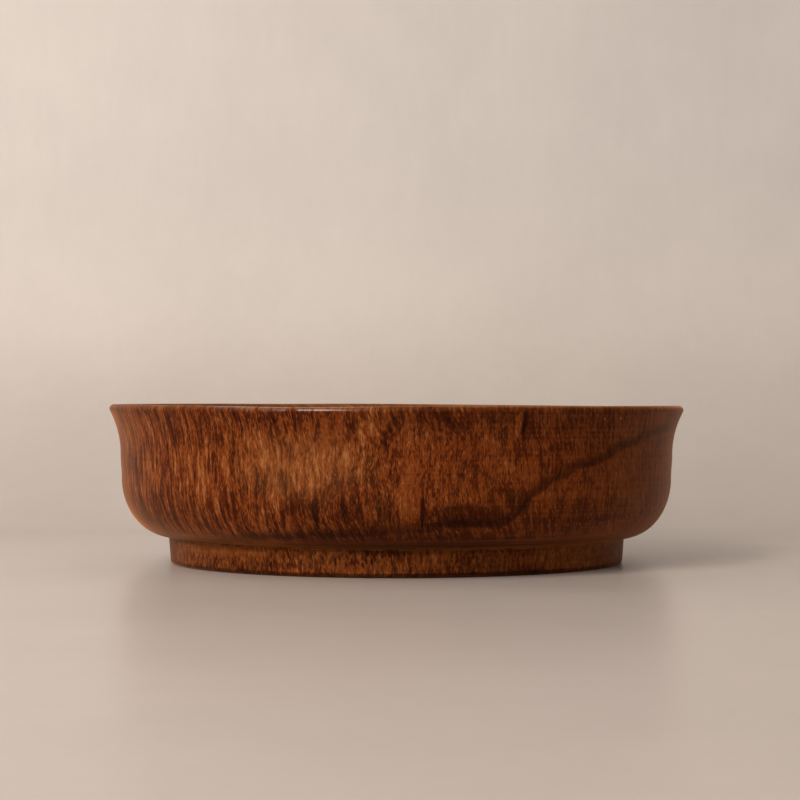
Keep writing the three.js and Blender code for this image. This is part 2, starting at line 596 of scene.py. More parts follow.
@dataclass(frozen=True)
class OilPolish:
    """The oiled and waxed face of the wood, as far as it is the same all over.

    Attributes:
        mirror: How strongly the oil mirrors.
        varnish: The tint that it gives to what it mirrors.
        sheen: How much of a soft sheen there is towards the sides.
        sheen_roughness: How wide that sheen is.
        sheen_tint: Its colour.
        wax_roughness: How dull the wax on polished edges is.
        relief: How plain the grain and the tool marks are to feel.
        relief_depth: How deep they are.
    """

    mirror: float = 0.04
    varnish: Colour = srgb(255, 222, 180)
    sheen: float = 0.47
    sheen_roughness: float = 0.3
    sheen_tint: Colour = srgb(238, 150, 74)
    wax_roughness: float = 0.2
    relief: float = 0.25
    relief_depth: float = 0.05 * MM

    def shader(self, bench: Bench, height: Wire) -> bpy.types.Node:
        """Adds the wood's shader.

        Args:
            bench: The material's tree.
            height: The height of the grain and of the tool marks.

        Returns:
            The shader's node.
        """
        made = bench.node("ShaderNodeBsdfPrincipled")
        made.inputs["Specular IOR Level"].default_value = self.mirror
        made.inputs["Specular Tint"].default_value = self.varnish
        made.inputs["Sheen Weight"].default_value = self.sheen
        made.inputs["Sheen Roughness"].default_value = self.sheen_roughness
        made.inputs["Sheen Tint"].default_value = self.sheen_tint
        made.inputs["Coat Roughness"].default_value = self.wax_roughness
        bump = bench.node("ShaderNodeBump")
        bump.inputs["Strength"].default_value = self.relief
        bump.inputs["Distance"].default_value = self.relief_depth
        bench.feed(bump.inputs["Height"], height)
        bench.feed(made.inputs["Normal"], bump.outputs[0])
        return made


@dataclass(frozen=True)
class FigureAndLightMark:
    """One patch in the figure of the wood, in millimetres. Some patches are painted light and shade.

    Attributes:
        angle: How far to the right of the front it lies, in degrees.
        height: Its height above the table.
        half_width: Half its width, round the bowl.
        half_height: Half its height.
        strength: How far its effect goes. 1 is plain to see.
    """

    angle: float
    height: float
    half_width: float
    half_height: float
    strength: float


@dataclass(frozen=True)
class GrowthLine:
    """A dark growth layer round the bowl.

    Attributes:
        course: Where it runs above the table, from the back round to the back.
        width: Half its width, in millimetres.
        strength: How dark it is, from 0 to 1.
    """

    course: Course
    width: float
    strength: float


@dataclass(frozen=True)
class FleckedWood:
    """An oiled hardwood with pale ray flecks in a dark ground.

    Attributes:
        name: The material's name.
        ground: The darker wood between the flecks.
        warm_ground: The ground where it is redder.
        dull_ground: The ground where it is nearer to olive.
        fleck: The flecks.
        pale_fleck: The palest flecks.
        rubbed: The wood on rubbed edges and in the palest hair lines; the worn marks also lay it on as
            painted highlight and painted sheen.
        rub_strength: How plain the rubbing is, from 0 to 1.
        roughness: How dull the polish is.
        fleck_length: The share of long flecks among the short ones.
        seed: Picks one pattern out of many.
        growth: The dark growth layer.
        marks: Patches of the figure, by what they do; some of them are painted light and shade.
        streak: The darkest streaks.
        polish: What the face of the wood is finished with.
    """

    name: str
    ground: Colour
    warm_ground: Colour
    dull_ground: Colour
    fleck: Colour
    pale_fleck: Colour
    rubbed: Colour
    rub_strength: float
    roughness: float
    fleck_length: float
    seed: float
    growth: GrowthLine
    marks: dict[Effect, tuple[FigureAndLightMark, ...]]
    streak: Colour = srgb(38, 15, 8)
    polish: OilPolish = OilPolish()

    def material(self, groups: WoodGroups) -> bpy.types.Material:
        """Builds the material.

        Args:
            groups: The shared node groups.

        Returns:
            The material.
        """
        made, bench = bare_material(self.name)
        place = bench.place(groups.place)
        marked = self._marked(bench, groups, place)
        grain = bench.place(
            groups.grain,
            Pith=PITH,
            Turn=math.atan2(PITH[0], PITH[1]),
            Length=bench.add(self.fleck_length, marked[Effect.LONGER], LONGER_SHARE),
            Wander=bench.add(WANDER, marked[Effect.LONGER], LONGER_WANDER),
            Seed=self.seed,
        )
        growth = self._growth(bench, groups, place)
        edge = bench.place(groups.rubbed, Seed=self.seed)
        tool = bench.place(groups.tool, Height=place["Height"], Radius=place["Radius"])
        found = {**grain, **growth, **edge, **tool}

        height = bench.add(found["Figure"], found["Fibre"], FIBRE_RELIEF)
        shader = self.polish.shader(bench, bench.add(height, found["Relief"], TOOL_RELIEF))
        dull = bench.add(self.roughness, found["Figure"], FLECK_DULLNESS)
        gloss = bench.times(bench.step(found["Rubbed"], *GLOSS_EDGES), marked[Effect.GLOSSIER])
        bench.feed(shader.inputs["Base Color"], self._colour(bench, found, marked))
        bench.feed(shader.inputs["Roughness"], bench.add(dull, found["Settled"], SETTLED_DULLNESS))
        bench.feed(shader.inputs["Coat Weight"], bench.math("MINIMUM", gloss, 1.0))
        bench.surface(shader.outputs[0])
        return made

    def _marked(self, bench: Bench, groups: WoodGroups, place: Outputs) -> dict[Effect, Wire]:
        """Adds up the marks.

        Args:
            bench: The material's tree.
            groups: The shared node groups.
            place: The outputs of the group of the turned place.

        Returns:
            How strong each effect is at a place.
        """
        sums: dict[Effect, Wire] = {effect: 0.0 for effect in Effect}
        for effect, marks in self.marks.items():
            for mark in marks:
                found = bench.place(
                    groups.mark,
                    **place,
                    Mark_Arc=math.radians(mark.angle) * REFERENCE_RADIUS,
                    Mark_Height=mark.height * MM,
                    Half_Width=mark.half_width * MM,
                    Half_Height=mark.half_height * MM,
                )
                sums[effect] = bench.add(sums[effect], found["Mask"], mark.strength)
        return sums

    def _growth(self, bench: Bench, groups: WoodGroups, place: Outputs) -> Outputs:
        """Lays the growth line round the bowl.

        Args:
            bench: The material's tree.
            groups: The shared node groups.
            place: The outputs of the group of the turned place.

        Returns:
            The outputs of the group of the growth line.
        """
        tallest = max(height for _, height in self.growth.course)
        turn = bench.add(0.5, place["Arc"], 1 / (math.tau * REFERENCE_RADIUS))
        course = bench.node("ShaderNodeFloatCurve")
        bench.feed(course.inputs["Value"], turn)
        points = course.mapping.curves[0].points
        spots = [(angle / 360 + 0.5, height / tallest) for angle, height in self.growth.course]
        points[0].location, points[-1].location = spots[0], spots[-1]
        for spot in spots[1:-1]:
            points.new(*spot)
        course.mapping.update()
        return bench.place(
            groups.growth,
            Height=place["Height"],
            Radius=place["Radius"],
            Line_Height=bench.times(course.outputs[0], tallest * MM),
            Line_Width=self.growth.width * MM,
            Seed=self.seed,
        )

    def _tone(self, bench: Bench, found: Outputs, marked: dict[Effect, Wire]) -> Socket:
        """Weighs up how pale the wood is, with the painted light and shade of some marks.

        Args:
            bench: The material's tree.
            found: What the shared groups give.
            marked: How strong each effect is.

        Returns:
            The tone, from the streaks to the palest flecks.
        """
        tone = found["Figure"]
        for name, weight in TONE_WEIGHTS.items():
            tone = bench.add(tone, bench.swing(found[name]), weight)
        smooth = bench.add(SMOOTH_TONE, found["Relief"], SMOOTH_RINGS)
        tone = bench.blend(bench.math("MINIMUM", marked[Effect.SMOOTHER], 1.0), tone, smooth)
        tone = bench.add(tone, marked[Effect.PALER], MARK_TONE)
        return bench.add(tone, marked[Effect.DARKER], -MARK_TONE)

    def _colour(self, bench: Bench, found: Outputs, marked: dict[Effect, Wire]) -> Wire:
        """Colours the wood by its tone, with its hair lines, growth line, marks and wear; some marks and
        worn patches are painted light and shade.

        Args:
            bench: The material's tree.
            found: What the shared groups give.
            marked: How strong each effect is.

        Returns:
            The colour.
        """
        tone = self._tone(bench, found, marked)
        ground = bench.mix(found["Layers"], self.ground, self.warm_ground)
        dull = bench.times(bench.step(found["Patch"], *DULL_PATCH), DULL_SHARE)
        ground = bench.mix(dull, ground, self.dull_ground)
        colour: Wire = self.streak
        for start, end, paler in zip(TONES, TONES[1:], (ground, self.fleck, self.pale_fleck)):
            colour = bench.mix(bench.step(tone, start, end), colour, paler)

        hair = bench.times(bench.step(found["Fibre"], *HAIR_FIBRE), bench.step(tone, *HAIR_TONE))
        colour = bench.mix(bench.times(hair, HAIR_SHARE), colour, self.rubbed)
        shade = bench.times(found["Line"], self.growth.strength)
        shade = bench.math("MAXIMUM", shade, bench.times(marked[Effect.DARKER], DARK_SHARE))
        colour = bench.mix(bench.math("MINIMUM", shade, DARKEST), colour, self.streak)
        # the worn marks hold real wear, and painted highlight and painted sheen
        worn_and_sheen_marks = bench.times(marked[Effect.WORN], bench.add(WORN_AT_ZERO, tone, WORN_TONE))
        worn = bench.add(worn_and_sheen_marks, found["Rubbed"], self.rub_strength)
        colour = bench.mix(bench.math("MINIMUM", worn, 1.0), colour, self.rubbed)
        return bench.mix(bench.times(found["Settled"], SETTLED_SHARE), colour, self.streak)


BOWL_WOOD = FleckedWood(
    name="Flecked hardwood of the bowl",
    ground=srgb(66, 28, 12),
    warm_ground=srgb(80, 33, 14),
    dull_ground=srgb(69, 37, 16),
    fleck=srgb(117, 57, 23),
    pale_fleck=srgb(157, 102, 60),
    rubbed=srgb(144, 96, 56),
    rub_strength=0.4,
    roughness=0.4,
    fleck_length=0.55,
    seed=4.0,
    growth=GrowthLine(
        course=(
            (-180, 30.0),
            (-90, 8.0),
            (-20, 16.0),
            (4, 19.0),
            (12, 20.8),
            (21, 21.5),
            (25.4, 30.1),
            (29.3, 35.6),
            (36.2, 41.1),
            (42.7, 44.7),
            (55.4, 52.1),
            (70, 56.5),
            (85, 58.0),
            (130, 48.0),
            (180, 30.0),
        ),
        width=3.6,
        strength=0.66,
    ),
    marks={
        Effect.PALER: (
            FigureAndLightMark(2.3, 36, 5.4, 21, 0.7),  # band up the front
            FigureAndLightMark(2.6, 57, 2.2, 9, 0.8),  # its narrow top
            FigureAndLightMark(-18.5, 43, 20, 10, 0.8),  # painted highlight: the lamp's soft reflection on the belly at the front left
            FigureAndLightMark(-50, 34, 36, 22, 0.3),  # left side
            FigureAndLightMark(-12.9, 57, 2.4, 9, 0.6),  # stripe under the lip
            FigureAndLightMark(-10.4, 57, 1.5, 9, 0.6),  # thinner stripe beside it
            FigureAndLightMark(22.9, 59, 1.3, 5.5, 1.2),  # edge of the dark stripe under the lip
            FigureAndLightMark(42.3, 60.4, 0.5, 0.5, 3.0),  # speck under the lip
            FigureAndLightMark(46.9, 60.7, 0.8, 0.4, 3.0),  # and another
            FigureAndLightMark(0, 16.4, ALL_ROUND, 2.4, 0.3),  # ring low on the belly
            FigureAndLightMark(-38, 13, 32, 3.2, 0.7),  # underside at the left
            FigureAndLightMark(8.6, 40, 6.5, 6, 0.8),  # patch to the right of the band
            FigureAndLightMark(-18, 55, 7, 6, 0.6),  # patch above the painted highlight
        ),
        Effect.DARKER: (
            FigureAndLightMark(5, 26.5, 0.8, 7, 2.0),  # stroke at the left end of the dark patch
            FigureAndLightMark(12, 21.4, 16, 1.4, 0.9),  # lower edge of that patch
            FigureAndLightMark(-15.4, 26, 1.4, 7, 1.4),  # stroke low at the front left
            FigureAndLightMark(-21.2, 37.3, 3.2, 4, 1.2),  # spot below the painted highlight
            FigureAndLightMark(13, 25, 16, 4.2, 1.05),  # dark patch below the growth line
            FigureAndLightMark(23.9, 29.5, 5.7, 5.4, 1.0),  # where the growth line rises from it
            FigureAndLightMark(24.1, 59, 1.1, 5.5, 1.6),  # stripe under the lip
            FigureAndLightMark(32, 60, 24, 6, 0.28),  # painted shade under the lip at the right
            FigureAndLightMark(59.8, 23.3, 1.1, 1.5, 3.0),  # pin knot
            FigureAndLightMark(0, 12.2, ALL_ROUND, 0.9, 0.4),  # ring above the seat
            FigureAndLightMark(-70, 15, 34, 8, 0.9),  # painted shade on the underside at the far left
            FigureAndLightMark(-74, 65, 30, 3, 0.5),  # painted shade on the lip at the far left, toning down its sheen
            FigureAndLightMark(-10, 25, 26, 9, 0.6),  # painted shade low on the belly at the front left
            FigureAndLightMark(-52, 24, 32, 9, 0.4),  # painted shade low on the belly at the left
            FigureAndLightMark(0, 15, 60, 4.4, 0.9),  # painted shade on the underside at the front, by the foot
            FigureAndLightMark(4, 60.5, 19, 7, 0.45),  # painted shade under the lip at the front
            FigureAndLightMark(19, 60, 6, 7, 0.5),  # beside the stripe under the lip
            FigureAndLightMark(-25, 36.5, 10, 6, 0.5),  # left end of the painted highlight
            FigureAndLightMark(34, 21, 26, 10, 0.3),  # painted shade low on the belly at the right
            FigureAndLightMark(-2.2, 31, 4, 7, 0.5),  # left edge of the pale band
        ),
        Effect.SMOOTHER: (
            FigureAndLightMark(2.6, 34, 4.4, 16, 0.25),  # pale band
            FigureAndLightMark(-12.9, 57, 2.4, 9, 0.5),  # pale stripe
            FigureAndLightMark(-10.4, 57, 1.5, 9, 0.5),  # thinner stripe
            FigureAndLightMark(0, 11.5, ALL_ROUND, 4.6, 0.8),  # underside
            FigureAndLightMark(60, 36, 120, 70, 0.42),  # right side
            FigureAndLightMark(-52, 36, 44, 44, 0.14),  # left side
        ),
        Effect.LONGER: (FigureAndLightMark(-55, 38, 62, 40, 0.7),),  # left side
        Effect.WORN: (
            FigureAndLightMark(-150, 66, 110, 2.4, 0.7),  # back of the lip: wear, and a painted highlight of the lamp on the inner rim
            FigureAndLightMark(150, 66, 110, 2.4, 0.7),  # its other half
            FigureAndLightMark(-18, 43, 28, 14, 0.24),  # painted highlight at the front left, in the pale worn colour
            FigureAndLightMark(68, 36, 50, 36, 0.14),  # painted sheen on the right side, towards its edge
            FigureAndLightMark(34, 65.9, 80, 1.1, 0.8),  # lip at the right
        ),
        Effect.GLOSSIER: (FigureAndLightMark(-20, 65, 34, 4, 1.0),),  # the dip worn in the lip
    },
)

FOOT_WOOD = FleckedWood(
    name="Flecked hardwood of the foot",
    ground=srgb(66, 30, 14),
    warm_ground=srgb(75, 31, 14),
    dull_ground=srgb(82, 50, 24),
    fleck=srgb(114, 58, 24),
    pale_fleck=srgb(150, 92, 48),
    rubbed=srgb(144, 100, 58),
    rub_strength=0.8,
    roughness=0.46,
    fleck_length=0.2,
    seed=9.0,
    growth=GrowthLine(
        course=((-180, 5.0), (-60, 1.0), (-24, 4.0), (-6, 10.0), (40, 14.0), (180, 5.0)),
        width=2.0,
        strength=0.3,
    ),
    marks={
        Effect.PALER: (
            FigureAndLightMark(-50, 8.6, 45, 3.4, 1.0),  # painted light on the upper half at the left, where the lamp lights it
            FigureAndLightMark(56, 6, 50, 12, 1.5),  # right side
            FigureAndLightMark(-25, 5, 9, 7, 0.8),  # patch at the front left
            FigureAndLightMark(-62, 5, 18, 9, 0.6),  # left side
        ),
        Effect.DARKER: (
            FigureAndLightMark(0, 0.2, ALL_ROUND, 1.7, 1.7),  # painted contact shade along the edge that stands on the table
            FigureAndLightMark(22, 2, 40, 4.6, 0.5),  # lower half at the front right
        ),
        Effect.SMOOTHER: (
            FigureAndLightMark(-50, 8.8, 45, 2.4, 0.6),  # upper half at the left
            FigureAndLightMark(60, 5, 120, 40, 0.42),  # right side
        ),
    },
)


@dataclass
class Outline:
    """A turned piece's section, gathered stretch by stretch with the inside of the wood on the left.

    Attributes:
        places: Radius and height of each point.
        wear: How much each point is rubbed, from 0 to 1.
        seam: How near each point is to the glue line, from 0 to 1.
    """

    places: list[tuple[float, float]] = field(default_factory=list)
    wear: list[float] = field(default_factory=list)
    seam: list[float] = field(default_factory=list)

    def point(self, radius: float, height: float, wear: float = 0.0, seam: float = 0.0) -> None:
        """Adds one point, unless the outline is already there.

        Args:
            radius: The point's radius.
            height: The point's height.
            wear: How much it is rubbed.
            seam: How near it is to the glue line.
        """
        if not self.places or math.dist(self.places[-1], (radius, height)) > SAME_POINT:
            self.places.append((radius, height))
            self.wear.append(wear)
            self.seam.append(seam)

    def line(
        self, radius: float, height: float, pitch: float, wear: float = 0.0, seam: float = 0.0
    ) -> None:
        """Goes straight to a point.

        Args:
            radius: The point's radius.
            height: The point's height.
            pitch: About how far apart the points on the way lie.
            wear: How much this stretch is rubbed.
            seam: How near this stretch is to the glue line.
        """
        start = self.places[-1]
        count = max(1, round(math.dist(start, (radius, height)) / pitch))
        for share in (step / count for step in range(1, count + 1)):
            here = start[0] + (radius - start[0]) * share
            self.point(here, start[1] + (height - start[1]) * share, wear, seam)

    def arc(
        self,
        centre: tuple[float, float],
        size: tuple[float, float],
        start: float,
        end: float,
        steps: int,
        wear: tuple[float, float] = (0.0, 0.0),
    ) -> None:
        """Goes along part of an ellipse.

        Args:
            centre: Radius and height of its middle.
            size: Its half width and half height.
            start: The angle that it starts at.
            end: The angle that it ends at.
            steps: How many points it has after the first.
            wear: How much it is rubbed at its start and at its end.
        """
        for share in (step / steps for step in range(steps + 1)):
            angle = start + (end - start) * share
            radius = centre[0] + size[0] * math.cos(angle)
            rubbed = wear[0] + (wear[1] - wear[0]) * share
            self.point(radius, centre[1] + size[1] * math.sin(angle), rubbed)

    def ease(self, radius: float, height: float, steps: int) -> None:
        """Steps gently sideways to a point, leaving and arriving upright.

        Args:
            radius: The point's radius.
            height: The point's height.
            steps: How many points it has after the first.
        """
        start = self.places[-1]
        for share in (step / steps for step in range(1, steps + 1)):
            drift = share * share * (3 - 2 * share)
            self.point(start[0] + (radius - start[0]) * drift, start[1] + (height - start[1]) * share)

    def turn(self, name: str) -> bpy.types.Object:
        """Turns the section, which runs from axis to axis or closes on itself, into a closed smooth mesh.

        Args:
            name: The piece's name.

        Returns:
            The object, in the scene, with its wear and seam as attributes.
        """
        places = np.array(self.places)
        on_axis = places[:, 0] < SAME_POINT
        rings = places[~on_axis]
        angles = np.arange(SEGMENTS) * math.tau / SEGMENTS
        x = np.outer(rings[:, 0], np.cos(angles))
        y = np.outer(rings[:, 0], np.sin(angles))
        z = np.repeat(rings[:, 1:2], SEGMENTS, axis=1)
        points = np.stack([x, y, z], axis=2).reshape(-1, 3)
        poles = np.array([(0.0, 0.0, height) for _, height in places[on_axis]]).reshape(-1, 3)
        mesh = bpy.data.meshes.new(name)
        mesh.from_pydata(np.concatenate([points, poles]).tolist(), [], self._faces(len(rings), len(poles)))
        mesh.update()
        mesh.shade_smooth()
        for label, values in ((WEAR, self.wear), (SEAM, self.seam)):
            round_axis = np.repeat(np.array(values)[~on_axis], SEGMENTS)
            spread = np.concatenate([round_axis, np.zeros(len(poles))]).astype(np.float32)
            mesh.attributes.new(label, "FLOAT", "POINT").data.foreach_set("value", spread)
        made = bpy.data.objects.new(name, mesh)
        bpy.context.scene.collection.objects.link(made)
        return made

    @staticmethod
    def _faces(rings: int, poles: int) -> list[tuple[int, ...]]:
        """Lists the faces.

        Args:
            rings: How many rings of points there are.
            poles: How many points lie on the axis: two, or none on a closed section.

        Returns:
            Each face's points, with the face looking out of the wood.
        """
        steps = [(here, (here + 1) % SEGMENTS) for here in range(SEGMENTS)]
        starts = [ring * SEGMENTS for ring in range(rings)]
        pairs = list(zip(starts, starts[1:]))
        if not poles:
            pairs.append((starts[-1], 0))
        faces: list[tuple[int, ...]] = []
        for low, high in pairs:
            faces += [(low + here, low + ahead, high + ahead, high + here) for here, ahead in steps]
        if poles:
            first = rings * SEGMENTS
            top = starts[-1]
            for here, ahead in steps:
                faces.append((first, ahead, here))
                faces.append((first + 1, top + here, top + ahead))
        return faces


class TurnedPiece(ABC):
    """A piece that is turned round the axis and then pulled out of true."""

    name: ClassVar[str]
    node: ClassVar[Node]
    slot: ClassVar[Slot]

    @abstractmethod
    def outline(self) -> Outline:
        """Draws the section."""

    @abstractmethod
    def out_of_true(self, points: np.ndarray) -> np.ndarray:
        """Moves points, as rows of x, y and z, to where drying and use have left them."""

    def build(self, wood: bpy.types.Material) -> bpy.types.Object:
        """Builds and dresses the piece.

        Args:
            wood: Its material.

        Returns:
            The piece.
        """
        piece = self.outline().turn(self.name)
        mesh = piece.data
        flat = np.zeros(len(mesh.vertices) * 3, np.float32)
        mesh.vertices.foreach_get("co", flat)
        moved = self.out_of_true(flat.reshape(-1, 3).astype(float))
        mesh.vertices.foreach_set("co", moved.astype(np.float32).ravel())
        mesh.update()
        mesh.materials.append(wood)
        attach(piece, BODY)
        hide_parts(self.node.value)
        return piece

    @staticmethod
    def along(course: Course, degrees: np.ndarray) -> np.ndarray:
        """Reads a course round the bowl, smoothed a little.

        Args:
            course: The course.
            degrees: The angles to read it at.

        Returns:
            The lengths there, in metres.
        """
        turns, values = np.array(course).T
        reads = [np.interp(degrees + shift, turns, values, period=360) for shift in SMOOTHING]
        return np.mean(reads, axis=0) * MM

    @staticmethod
    def hitch(points: np.ndarray, rim_radius: float, foot_radius: float) -> np.ndarray:
        """How much higher the seat stands towards the left.

        Args:
            points: Rows of x, y and z.
            rim_radius: The bowl's radius at the lip, from where the rise starts on the right.
            foot_radius: The radius from which it is full.

        Returns:
            The rise at each point.
        """
        rise = SEAT_HITCH * (1 - points[:, 0] / rim_radius) / 2
        return rise * TurnedPiece.outward(points, foot_radius)

    @staticmethod
    def outward(points: np.ndarray, full: float) -> np.ndarray:
        """How far out each point lies, from 0 on the axis to 1 at the radius where it is full."""
        return np.clip(np.hypot(points[:, 0], points[:, 1]) / full, 0, 1) ** OUTWARD_POWER


@dataclass
class BowlBody(TurnedPiece):
    """The turned bowl with its spigot. The sizes with no comment are those of the part's source."""

    name: ClassVar[str] = "turned_bowl"
    node: ClassVar[Node] = Node.BOWL
    slot: ClassVar[Slot] = Slot.BOWL

    rim_radius: float
    rim_level: float
    spigot_level: float
    foot_radius: float
    flare: float = 4.6 * MM
    tuck: float = 0.5 * MM
    foot_inset: float = 19.4 * MM
    lower_curve_height: float = 25 * MM
    wall_rise: float = 9.8 * MM
    wall_thickness: float = 6 * MM
    lip: float = 4.6 * MM
    lip_outer_round: float = 1.8 * MM
    lip_inner_round: float = 1.2 * MM
    floor_thickness: float = 9.5 * MM
    inner_curve_width: float = 22 * MM
    spigot_height: float = 3.2 * MM
    spigot_radius: float = 83.7 * MM
    spigot_ease: float = 0.8 * MM
    shrink: float = 0.4 * MM  # how much less the radius is across the grain
    lip_course: Course = LIP_COURSE  # how far below a true rim the lip is
    drop_power: float = 0.4  # below 1, so that the wall drops nearly as far as the lip
    worn_course: Course = WORN_COURSE  # how much the lip has worn down besides
    worn_depth: float = 3 * MM  # how far down from the rim the wear has reshaped the lip

    @property
    def seat(self) -> float:
        """The level of the face that the foot is glued to."""
        return self.spigot_level + self.spigot_height

    def outline(self) -> Outline:
        """Draws the section, from the middle of the underside over the lip to the middle of the floor.

        Returns:
            The outline.
        """
        belly = self.seat + self.lower_curve_height
        waist = belly + self.wall_rise
        rim = self.rim_level
        floor = self.spigot_level + self.floor_thickness
        waist_radius = self.rim_radius - self.flare
        belly_radius = waist_radius - self.tuck
        inner_waist = waist_radius - self.wall_thickness
        inner_belly = belly_radius - self.wall_thickness
        inner_lip = self.rim_radius - self.lip
        floor_radius = inner_belly - self.inner_curve_width
        outer_round = self.lip_outer_round
        inner_round = self.lip_inner_round
        outer_lean, outer_reach = self._flare(self.flare, rim - waist - outer_round)
        inner_lean, inner_reach = self._flare(inner_lip - inner_waist, rim - waist - inner_round)
        outer_reach -= outer_round
        inner_reach += inner_round
        outer_end = math.pi - outer_lean
        inner_end = math.pi - inner_lean

        made = Outline()
        made.point(0, self.spigot_level)
        made.line(self.spigot_radius - self.spigot_ease, self.spigot_level, pitch=4 * MM)
        made.line(self.spigot_radius, self.spigot_level + self.spigot_ease, pitch=0.4 * MM)
        made.line(self.spigot_radius, self.seat, pitch=1.2 * MM)
        made.line(self.foot_radius, self.seat, pitch=1.5 * MM, seam=1.0)
        lower = (self.foot_inset, self.lower_curve_height)
        made.arc((self.foot_radius, belly), lower, -QUARTER, 0, steps=34)
        made.ease(waist_radius, waist, steps=8)
        made.arc((waist_radius + outer_reach, waist), (outer_reach,) * 2, math.pi, outer_end, steps=18)
        centre = (self.rim_radius - outer_round, rim - outer_round)
        made.arc(centre, (outer_round,) * 2, -outer_lean, QUARTER, steps=14, wear=(0.0, 1.0))
        centre = (inner_lip + inner_round, rim - inner_round)
        made.arc(centre, (inner_round,) * 2, QUARTER, inner_end, steps=10, wear=(1.0, 0.0))
        made.arc((inner_waist + inner_reach, waist), (inner_reach,) * 2, inner_end, math.pi, steps=12)
        made.ease(inner_belly, belly, steps=6)
        made.arc((floor_radius, belly), (self.inner_curve_width, belly - floor), 0, -QUARTER, steps=22)
        made.line(0, floor, pitch=3 * MM)
        return made

    @staticmethod
    def _flare(reach: float, rise: float) -> tuple[float, float]:
        """The arc that leaves the waist upright and meets the lip's round.

        Args:
            reach: How far it goes out.
            rise: How far it goes up.

        Returns:
            Its lean at the lip, and its radius with the round's added.
        """
        lean = 2 * math.atan(reach / rise)
        return lean, rise / math.sin(lean)

    def out_of_true(self, points: np.ndarray) -> np.ndarray:
        """Warps the bowl as wood does when it dries, and wears its lip.

        Args:
            points: Rows of x, y and z.

        Returns:
            The rows, moved.
        """
        x, y, z = points.T
        lift = np.clip((z - self.seat) / (self.rim_level - self.seat), 0, 1) ** self.drop_power
        degrees = np.degrees(np.arctan2(x, -y))
        drop = self.along(self.lip_course, degrees) * lift * self.outward(points, self.foot_radius)
        at_lip = np.clip((z - self.rim_level) / self.worn_depth + 1, 0, 1)
        worn = self.along(self.worn_course, degrees) * at_lip
        below_belly = np.clip((self.seat + self.lower_curve_height - z) / self.lower_curve_height, 0, 1)
        hitch = self.hitch(points, self.rim_radius, self.foot_radius) * below_belly
        narrow = 1 - self.shrink * lift * y**2 / self.rim_radius**3
        return np.stack([x * narrow, y * narrow, z - drop + hitch - worn], axis=1)


@dataclass
class FootRing(TurnedPiece):
    """The ring that the bowl stands on. The sizes with no comment are those of the part's source."""

    name: ClassVar[str] = "turned_foot"
    node: ClassVar[Node] = Node.FOOT
    slot: ClassVar[Slot] = Slot.FOOT

    radius: float
    height: float  # with the thinner glue line, a little more than the solid's
    rim_radius: float  # the bowl's
    width: float = 11.5 * MM
    taper: float = 0.8 * MM
    edge_round: float = 1.4 * MM
    bore_ease: float = 1 * MM
    arris: float = 0.2 * MM  # the round on the top edge, sharper than the solid's
    worn_and_highlit_edge: float = 0.5 * MM  # how far the rubbed top edge reaches down the outer face; partly a painted highlight of the lit arris
    worn_lean: float = 0.1 * MM  # how far the outer face stands in below it
    uneven: float = 0.12 * MM  # how far the outer face strays from a true round
    # Each wave in the outer face: how many go round, how strong it is, and the angle that it starts at
    waves: tuple[tuple[int, float, float], ...] = ((5, 1.0, 1.3), (11, 0.7, 0.4), (23, 0.5, 2.2))

    def outline(self) -> Outline:
        """Draws the section, from the inside of the standing face round to it again.

        Returns:
            The outline.
        """
        stand = self.radius - self.taper - self.edge_round
        bore = self.radius - self.width
        edge = self.height - self.arris
        made = Outline()
        made.point(bore + self.bore_ease, 0)
        made.line(stand, 0, pitch=2 * MM)
        made.arc((stand, self.edge_round), (self.edge_round,) * 2, -QUARTER, 0, steps=10, wear=(0.4, 0.0))
        made.line(self.radius - self.worn_lean, edge - self.worn_and_highlit_edge, pitch=0.8 * MM)
        # painted highlight: the rubbed colour at the top of the outer face stands partly for the arris
        # catching the light
        made.line(self.radius, edge, pitch=0.25 * MM, wear=0.8)
        made.arc((self.radius - self.arris, edge), (self.arris,) * 2, 0, QUARTER, steps=8, wear=(0.6, 1.0))
        made.line(bore, self.height, pitch=2.5 * MM, seam=1.0)
        made.line(bore, self.bore_ease, pitch=1.5 * MM)
        return made

    def out_of_true(self, points: np.ndarray) -> np.ndarray:
        """Leaves the outer face slightly uneven and the top higher on the left.

        Args:
            points: Rows of x, y and z.

        Returns:
            The rows, moved.
        """
        x, y, z = points.T
        angle = np.arctan2(y, x)
        wave = sum(strength * np.sin(count * angle + start) for count, strength, start in self.waves)
        most = sum(strength for _, strength, _ in self.waves)
        dip = self.uneven * (wave / most + 1) / 2
        outer = np.hypot(x, y) > self.radius - self.taper - self.edge_round
        narrow = 1 - np.where(outer, dip, 0) / self.radius
        hitch = self.hitch(points, self.rim_radius, self.radius) * z / self.height
        return np.stack([x * narrow, y * narrow, z + hitch], axis=1)


